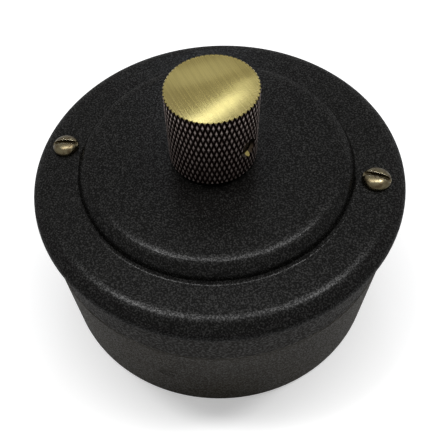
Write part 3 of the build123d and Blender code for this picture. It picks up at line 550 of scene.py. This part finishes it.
def cut(mesh, cutter):
    """Mesh with another closed mesh cut out of it. The new faces keep the cutter's material."""
    body = bpy.data.objects.new("body_to_cut", mesh)
    tool = bpy.data.objects.new("cutting_tool", cutter)
    for piece in (body, tool):
        bpy.context.scene.collection.objects.link(piece)
    step = body.modifiers.new("cut", "BOOLEAN")
    step.object, step.operation, step.solver, step.material_mode = tool, "DIFFERENCE", "EXACT", "TRANSFER"
    result = bpy.data.meshes.new_from_object(body.evaluated_get(bpy.context.evaluated_depsgraph_get()))
    result.name = mesh.name
    for piece in (body, tool):
        bpy.data.objects.remove(piece)
    return result


def ring_point(radius, turn, height):
    return Vector((radius * math.cos(turn), radius * math.sin(turn), height))


# Geometry node trees

def shape_tree(name, inputs):
    """Empty geometry tree with named inputs. Returns it, its wiring and what comes in."""
    tree = bpy.data.node_groups.new(name, "GeometryNodeTree")
    for socket, kind, value in inputs:
        made = tree.interface.new_socket(socket, in_out="INPUT", socket_type=kind)
        if value is not None:
            made.default_value = value
    tree.interface.new_socket("Geometry", in_out="OUTPUT", socket_type="NodeSocketGeometry")
    g = Wiring(tree)
    return tree, g, g.node("NodeGroupInput").outputs


def finish_tree(g, geometry, finish):
    """Realize what was repeated and set its material."""
    real = g.node("GeometryNodeRealizeInstances")
    g.feed(real.inputs["Geometry"], geometry)
    coloured = g.node("GeometryNodeSetMaterial")
    g.feed(coloured.inputs["Geometry"], real.outputs[0])
    g.feed(coloured.inputs["Material"], finish)
    g.feed(g.node("NodeGroupOutput").inputs["Geometry"], coloured.outputs[0])


def grown(tree, name, **values):
    """Plain mesh that a geometry tree makes with these input values."""
    seed = bpy.data.objects.new(name, bpy.data.meshes.new(name))
    bpy.context.scene.collection.objects.link(seed)
    step = seed.modifiers.new("shape", "NODES")
    step.node_group = tree
    for socket in tree.interface.items_tree:
        if socket.in_out == "INPUT" and socket.name.replace(" ", "_") in values:
            step[socket.identifier] = values[socket.name.replace(" ", "_")]
    result = bpy.data.meshes.new_from_object(seed.evaluated_get(bpy.context.evaluated_depsgraph_get()))
    bpy.data.objects.remove(seed)
    return result


def moved(g, geometry, position, selection=None):
    """Geometry with its points set to a position."""
    made = g.node("GeometryNodeSetPosition")
    g.feed(made.inputs["Geometry"], geometry)
    g.feed(made.inputs["Position"], position)
    if selection is not None:
        g.feed(made.inputs["Selection"], selection)
    return made.outputs[0]


def point_parts(g):
    """The X, Y and Z of each point."""
    return g.parts(g.node("GeometryNodeInputPosition").outputs[0])


def diamond_knurl():
    """Band of crowned diamonds round the Z axis, trimmed level at its foot and top."""
    tree, g, given = shape_tree("diamond_knurl", [
        ("Count", WHOLE, 40), ("Rows", WHOLE, 8),
        ("Tip Radius", FLOAT, 0.01), ("Depth", FLOAT, 0.0005), ("Foot", FLOAT, 0.0), ("Top", FLOAT, 0.02),
        ("Shoulder", FLOAT, 0.6), ("Land", FLOAT, 0.4), ("Shoulder Height", FLOAT, 0.8),
        ("Finish", FINISH, None)])
    diamond = g.node("GeometryNodeMeshCircle", fill_type="NGON")
    g.feed(diamond.inputs["Vertices"], 4)
    g.feed(diamond.inputs["Radius"], 1.0)
    shape, picked = diamond.outputs[0], None
    for size, height in ((given["Shoulder"], given["Shoulder Height"]), (given["Land"], 1.0)):
        raised = g.node("GeometryNodeExtrudeMesh", mode="FACES")
        g.feed(raised.inputs["Mesh"], shape)
        g.feed(raised.inputs["Offset Scale"], 0.0)
        if picked is not None:
            g.feed(raised.inputs["Selection"], picked)
        picked = raised.outputs["Top"]
        sized = g.node("GeometryNodeScaleElements")
        g.feed(sized.inputs["Geometry"], raised.outputs["Mesh"])
        g.feed(sized.inputs["Selection"], picked)
        g.feed(sized.inputs["Scale"], size)
        place = point_parts(g)
        shape = moved(g, sized.outputs[0], g.joined(place[0], place[1], height), picked)
    rise = g.math("DIVIDE", g.math("SUBTRACT", given["Top"], given["Foot"]), given["Rows"])
    pitch = g.math("DIVIDE", math.tau, given["Count"])
    local = point_parts(g)
    root = g.math("SUBTRACT", given["Tip Radius"], given["Depth"])
    radius = g.math("MULTIPLY_ADD", local[2], given["Depth"], root)
    lean = g.math("MULTIPLY", local[0], g.math("MULTIPLY", pitch, 0.5))
    curved = g.joined(g.math("MULTIPLY", radius, g.math("COSINE", lean)),
                      g.math("MULTIPLY", radius, g.math("SINE", lean)),
                      g.math("MULTIPLY", local[1], rise))
    shape = moved(g, shape, curved)
    spots = g.node("GeometryNodePoints")
    g.feed(spots.inputs["Count"], g.math("MULTIPLY", given["Count"], g.math("ADD", given["Rows"], 1.0)))
    number = g.node("GeometryNodeInputIndex").outputs[0]
    row = g.math("FLOOR", g.math("DIVIDE", g.math("ADD", number, 0.5), given["Count"]))
    place = g.math("SUBTRACT", number, g.math("MULTIPLY", row, given["Count"]))
    stagger = g.math("MULTIPLY", g.math("MODULO", row, 2.0), 0.5)
    turn = g.math("MULTIPLY", g.math("ADD", place, stagger), pitch)
    height = g.math("MULTIPLY_ADD", row, rise, given["Foot"])
    copies = g.node("GeometryNodeInstanceOnPoints")
    g.feed(copies.inputs["Points"], moved(g, spots.outputs[0], g.joined(0.0, 0.0, height)))
    g.feed(copies.inputs["Instance"], shape)
    g.feed(copies.inputs["Rotation"], g.joined(0.0, 0.0, turn))
    real = g.node("GeometryNodeRealizeInstances")
    g.feed(real.inputs[0], copies.outputs[0])
    spot = point_parts(g)
    level = g.math("MINIMUM", g.math("MAXIMUM", spot[2], given["Foot"]), given["Top"])
    trimmed = moved(g, real.outputs[0], g.joined(spot[0], spot[1], level))
    finish_tree(g, trimmed, given["Finish"])
    return tree


def cut_thread():
    """Shank with a helical thread that fades into a pointed end, hanging down from z = 0."""
    tree, g, given = shape_tree("cut_thread", [
        ("Radius", FLOAT, 0.002), ("Pitch", FLOAT, 0.0007), ("Length", FLOAT, 0.02),
        ("Depth", FLOAT, 0.0004), ("Sides", WHOLE, 24), ("Rows", WHOLE, 120), ("Finish", FINISH, None)])
    sheet = g.node("GeometryNodeMeshGrid")
    g.feed(sheet.inputs["Size X"], 1.0)
    g.feed(sheet.inputs["Size Y"], 1.0)
    g.feed(sheet.inputs["Vertices X"], g.math("ADD", given["Sides"], 1.0))
    g.feed(sheet.inputs["Vertices Y"], given["Rows"])
    place = point_parts(g)
    round_it = g.math("ADD", place[0], 0.5)
    down = g.math("SUBTRACT", 0.5, place[1])
    depth_down = g.math("MULTIPLY", down, given["Length"])
    phase = g.math("FRACT", g.math("ADD", g.math("DIVIDE", depth_down, given["Pitch"]), round_it))
    ridge = g.math("ABSOLUTE", g.math("MULTIPLY_ADD", phase, 2.0, -1.0))
    start = g.math("MULTIPLY", g.math("DIVIDE", depth_down, given["Pitch"]), 1.0, clamp=True)
    left = g.math("SUBTRACT", given["Length"], depth_down)
    end = g.math("DIVIDE", left, g.math("MULTIPLY", given["Depth"], 1.5), clamp=True)
    groove = g.math("MULTIPLY", g.math("MULTIPLY", ridge, given["Depth"]), start)
    taper = g.math("MULTIPLY", g.math("SUBTRACT", 1.0, end), given["Depth"])
    body = g.math("SUBTRACT", given["Radius"], g.math("MAXIMUM", groove, taper))
    radius = g.math("MULTIPLY", body, g.math("GREATER_THAN", left, 1e-7))
    turn = g.math("MULTIPLY", round_it, math.tau)
    helix = g.joined(g.math("MULTIPLY", radius, g.math("COSINE", turn)),
                     g.math("MULTIPLY", radius, g.math("SINE", turn)),
                     g.math("MULTIPLY", depth_down, -1.0))
    finish_tree(g, moved(g, sheet.outputs[0], helix), given["Finish"])
    return tree


KNURL_TREE = diamond_knurl()
THREAD_TREE = cut_thread()


# Knob: a finer knurl of crowned diamonds, with a brushed, dished top

def dish_level(radius, top):
    """Height of the knob's dished end at a radius."""
    ball = (KNOB_RADIUS * KNOB_RADIUS + KNOB_DISH * KNOB_DISH) / (2 * KNOB_DISH)
    return top - KNOB_DISH + ball - math.sqrt(ball * ball - radius * radius)


def knob_blank(foot, top, root):
    """Knurled band, dished end, recess and bore, as one closed mesh."""
    edge = top - KNOB_ROUND
    knurl = grown(KNURL_TREE, "knurl", Count=KNURL_COUNT, Rows=KNURL_ROWS, Tip_Radius=KNOB_RADIUS,
                  Depth=KNURL_DEPTH, Foot=foot, Top=edge, Shoulder=KNURL_SHOULDER, Land=KNURL_LAND,
                  Shoulder_Height=KNURL_SHOULDER_HEIGHT)
    bm = bmesh.new()
    bm.from_mesh(knurl)
    for face in bm.faces:
        face.smooth = False
        face.material_index = 0
    for vert in bm.verts:
        if vert.co.z > edge - LEVEL_TOLERANCE:
            vert.co.z = dish_level(min(vert.co.xy.length, KNOB_RADIUS), top)
    rings = [root, root - KNOB_ROUND] + [root * (1 - n / DISH_RINGS) for n in range(1, DISH_RINGS + 1)]
    lathe(bm, [(ring, dish_level(ring, top)) for ring in rings], KNOB_SIDES, finish=1)
    roof = foot + KNOB_RECESS_DEPTH
    inside = [(root, foot), (KNOB_RECESS_RADIUS, foot), (KNOB_RECESS_RADIUS, roof), (KNOB_BORE_RADIUS, roof),
              (KNOB_BORE_RADIUS, roof + KNOB_BORE_DEPTH), (0, roof + KNOB_BORE_DEPTH)]
    # The recess and bore take the near-black painted shade
    lathe(bm, inside, KNOB_SIDES, finish=2, smooth=False)
    blank = closed_mesh(bm, "knurled_knob", knurl_finish, top_finish, hole_painted_shade)
    for face in blank.polygons:
        if face.normal.z > 0.9 and face.center.z > top - KNURL_DEPTH:
            face.material_index = 1
    return blank


def edge_cutter(top):
    """Ring that breaks the knob's upper edge and leaves bare brass there."""
    edge = top - KNOB_ROUND
    inner, outer = KNOB_RADIUS - KNOB_CHAMFER, KNOB_RADIUS + KNOB_CHAMFER
    high, low = edge + KNOB_CHAMFER, edge - 2 * KNOB_CHAMFER
    corner = (inner - KNOB_CHAMFER, high)
    ring = bmesh.new()
    lathe(ring, [corner, (outer, high), (outer, low), corner], 2 * KNOB_SIDES, smooth=False)
    return closed_mesh(ring, "broken_edge", top_finish)


def grub_hole_cutter(level, root):
    """Radial hole for the grub screw, flared at its mouth, in near-black painted shade with a painted glint
    of bright brass at the lowest of the flare.
    """
    across = Matrix.Rotation(GRUB_ANGLE, 4, "Z") @ Matrix.Rotation(math.pi / 2, 4, "Y")
    start, flare, end = KNOB_BORE_RADIUS / 2, root - FLARE_DEPTH, root + FLARE_REACH
    profile = [(0, start), (GRUB_RADIUS, start), (GRUB_RADIUS, flare), (GRUB_RADIUS + FLARE_WIDTH, end),
               (0, end)]
    hole = bmesh.new()
    lathe(hole, profile, HOLE_SIDES, Matrix.Translation((0, 0, level)) @ across, smooth=False)
    mouth = (across @ Vector((0, 0, flare))).xy
    # Painted glint: the faces at the bottom of the flare take the bright brass top finish
    for face in hole.faces:
        spot = face.calc_center_median()
        if spot.xy.dot(mouth) > mouth.length_squared and spot.z < level - PAINTED_GLINT_DROP * GRUB_RADIUS:
            face.material_index = 1
    return closed_mesh(hole, "grub_hole", hole_painted_shade, top_finish)


def map_brushing(mesh):
    """UV map with its U across the brushing, which gives the brass its tangent."""
    brushing = mesh.uv_layers.new(name="brushing")
    turned = Matrix.Rotation(-BRUSH_ANGLE, 2)
    across = 4 * KNOB_RADIUS
    for loop in mesh.loops:
        spot = turned @ mesh.vertices[loop.vertex_index].co.xy
        brushing.data[loop.index].uv = (0.5 + spot.y / across, 0.5 - spot.x / across)


def knob_mesh():
    """Knob from its scalloped foot to its dished top, with its edge broken and its grub hole cut."""
    low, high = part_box("knob")
    root = KNOB_RADIUS - KNURL_DEPTH
    solid = cut(knob_blank(low.z, high.z, root), edge_cutter(high.z))
    solid = cut(solid, grub_hole_cutter(low.z + GRUB_HEIGHT, root))
    map_brushing(solid)
    return solid


finished("knurled_knob", knob_mesh(), "knob_shaft", "knob_brass", "knob")


# Dome-headed cover screws with a worn slot and a rolled thread

def dome_profile(radius, height):
    """Profile of a full round head, squarer than an ellipse, from its middle down to its seat."""
    turns = [math.pi / 2 * n / DOME_STEPS for n in range(DOME_STEPS)]
    dome = [(radius * math.sin(turn) ** HEAD_FULLNESS, height * math.cos(turn) ** HEAD_FULLNESS)
            for turn in turns]
    return dome + [(radius, 0)]


def slot_cutter(angle):
    """Bar that cuts a screw's slot across its head."""
    bar = bmesh.new()
    bmesh.ops.create_cube(bar, size=1.0)
    size = Matrix.Diagonal((4 * SCREW_HEAD_RADIUS, SLOT_WIDTH, 2 * SLOT_DEPTH, 1))
    turn = Matrix.Rotation(math.radians(angle), 4, "Z")
    lift = Matrix.Translation((0, 0, SCREW_HEAD_HEIGHT))
    bmesh.ops.transform(bar, matrix=lift @ turn @ size, verts=bar.verts)
    return closed_mesh(bar, "slot", screw_finish)


def cover_screw_meshes():
    """Both cover screws as one mesh."""
    low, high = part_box("cover_screws")
    seat = high.z - SCREW_HEAD_HEIGHT
    length = seat - low.z
    thread = grown(THREAD_TREE, "thread", Radius=SCREW_RADIUS, Pitch=THREAD_PITCH, Length=length,
                   Depth=THREAD_DEPTH, Sides=SCREW_SIDES, Rows=int(length / THREAD_PITCH * ROWS_A_TURN))
    both = bmesh.new()
    for side, angle in SLOT_ANGLES.items():
        bm = bmesh.new()
        bm.from_mesh(thread)
        for face in bm.faces:
            face.smooth = True
        lathe(bm, dome_profile(SCREW_HEAD_RADIUS, SCREW_HEAD_HEIGHT) + [(SCREW_RADIUS, 0)], SCREW_SIDES)
        solid = cut(closed_mesh(bm, "cover_screw", screw_finish), slot_cutter(angle))
        solid.transform(Matrix.Translation((side * SCREW_SPREAD, 0, seat)))
        both.from_mesh(solid)
    mesh = bpy.data.meshes.new("dome_screws")
    both.to_mesh(mesh)
    both.free()
    mesh.materials.append(screw_finish)
    return mesh


finished("dome_screws", cover_screw_meshes(), "case", "screw_bronze", "cover_screws")


# Return spring, whose foot stays on the switch base while the knob is pushed

def spring_mesh():
    """The spring's own coils, with their place in the mesh."""
    coils = nodes["return_spring"]
    mesh = coils.data.copy()
    mesh.name = "coiled_spring"
    mesh.transform(coils.matrix_world)
    return mesh


spring = finished("coiled_spring", spring_mesh(), "case", "steel", "return_spring")
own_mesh(spring)


# Floor, light and camera

FLOOR_REACH = 4.0
PAPER_WHITE = 0.8
SEEN_GLOW = 0.4
MIRRORED_GLOW = 0.15
AMBIENT = 0.12
COOL = (0.9, 1.0, 1.15)
WHITE_POWER = 4.0
LAMP_SIZE = (0.09, 0.09)
LAMP_POWER = 1.2
CASE_TOP = (0, 0, 0.05)
STRIP_DISTANCE = 0.8

floor_mesh = bpy.data.meshes.new("studio_floor")
corners = [(x * FLOOR_REACH, y * FLOOR_REACH, 0) for x, y in ((-1, -1), (1, -1), (1, 1), (-1, 1))]
floor_mesh.from_pydata(corners, [], [(0, 1, 2, 3)])
floor = bpy.data.objects.new("studio_floor", floor_mesh)
bpy.context.scene.collection.objects.link(floor)


def floor_material():
    """White paper: shadows stay, and what the camera sees of the rest is white."""
    made = bpy.data.materials.new("white_paper")
    made.use_nodes = True
    made.node_tree.nodes.clear()
    s = Wiring(made.node_tree)
    paper = s.node("ShaderNodeBsdfDiffuse")
    paper.inputs["Color"].default_value = grey(PAPER_WHITE)
    glow = s.node("ShaderNodeEmission")
    seen = s.node("ShaderNodeLightPath").outputs
    mirrored = s.math("MAXIMUM", seen["Is Glossy Ray"], seen["Is Transmission Ray"])
    direct = s.math("MULTIPLY", seen["Is Camera Ray"], SEEN_GLOW)
    s.feed(glow.inputs["Strength"], s.math("MULTIPLY_ADD", mirrored, MIRRORED_GLOW, direct))
    both = s.node("ShaderNodeAddShader")
    s.feed(both.inputs[0], paper.outputs[0])
    s.feed(both.inputs[1], glow.outputs[0])
    end = s.node("ShaderNodeOutputMaterial")
    s.feed(end.inputs["Surface"], both.outputs[0])
    return made


floor_mesh.materials.append(floor_material())


def studio_world(ambient):
    """White to the camera and in reflections, and a soft fill for everything else."""
    world = bpy.data.worlds.new("studio")
    world.use_nodes = True
    world.node_tree.nodes.clear()
    s = Wiring(world.node_tree)
    seen = s.node("ShaderNodeLightPath").outputs
    mirrored = s.math("MAXIMUM", seen["Is Glossy Ray"], seen["Is Transmission Ray"])
    direct = s.math("MAXIMUM", seen["Is Camera Ray"], mirrored)
    background = s.node("ShaderNodeBackground")
    background.inputs["Color"].default_value = grey(1.0)
    s.feed(background.inputs["Strength"], s.ramp(direct, 0.0, 1.0, ambient, 1.0))
    end = s.node("ShaderNodeOutputWorld")
    s.feed(end.inputs["Surface"], background.outputs[0])
    bpy.context.scene.world = world


def area_lamp(name, place, target, size, power, colour=(1, 1, 1)):
    """Rectangular soft lamp that faces a target."""
    data = bpy.data.lights.new(name, "AREA")
    data.shape = "RECTANGLE"
    data.size, data.size_y = size
    data.energy = power
    data.color = colour
    lamp = bpy.data.objects.new(name, data)
    bpy.context.scene.collection.objects.link(lamp)
    lamp.location = place
    lamp.rotation_euler = (Vector(target) - Vector(place)).to_track_quat("-Z", "Y").to_euler()
    return lamp


def strip_lamp(name, first, last, distance, width, brightness, colour=(1, 1, 1)):
    """Narrow lamp whose ends lie in these two directions from the knob's top. Brightness 1 is white."""
    knob_top = Vector((0, 0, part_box("knob")[1].z))
    ends = [knob_top + Vector(way).normalized() * distance for way in (first, last)]
    along = ends[1] - ends[0]
    middle = (ends[0] + ends[1]) / 2
    facing = (middle - knob_top).normalized()
    across = facing.cross(along.normalized()).normalized()
    power = WHITE_POWER * brightness * along.length * width
    lamp = area_lamp(name, middle, knob_top, (along.length, width), power, colour)
    turn = Matrix((along.normalized(), across, facing)).transposed()
    lamp.rotation_euler = turn.to_euler()


studio_world(AMBIENT)
strip_lamp("overhead_softbox", (-0.38, 0.0, 0.72), (0.36, 0.16, 0.72), 0.78, 0.14, 10.0)
area_lamp("left_lamp", (-0.24, 0.04, 0.80), CASE_TOP, LAMP_SIZE, LAMP_POWER)
area_lamp("right_lamp", (0.30, 0.17, 0.78), CASE_TOP, LAMP_SIZE, LAMP_POWER)
strip_lamp("bright_strip", (-0.112, 0.921, 0.420), (-0.202, 0.732, 0.651), STRIP_DISTANCE, 0.032, 5.2, COOL)
strip_lamp("fading_strip", (-0.202, 0.732, 0.651), (-0.222, 0.660, 0.718), STRIP_DISTANCE, 0.030, 2.4, COOL)
strip_lamp("soft_strip", (-0.010, 0.695, 0.719), (-0.172, 0.575, 0.800), STRIP_DISTANCE, 0.09, 0.5, COOL)

camera_data = bpy.data.cameras.new("photo_camera")
camera = bpy.data.objects.new("photo_camera", camera_data)
bpy.context.scene.collection.objects.link(camera)
camera.location = (0.01976, -0.10149, 0.17276)
camera.rotation_euler = Euler([math.radians(a) for a in (31.798, 5.724, 12.749)])
camera_data.sensor_width = 36.0
camera_data.lens = 47.392
camera_data.shift_x = 0.15
camera_data.shift_y = 0.0619
camera_data.clip_start = 0.005
bpy.context.scene.camera = camera

bpy.context.scene.view_settings.view_transform = "Standard"
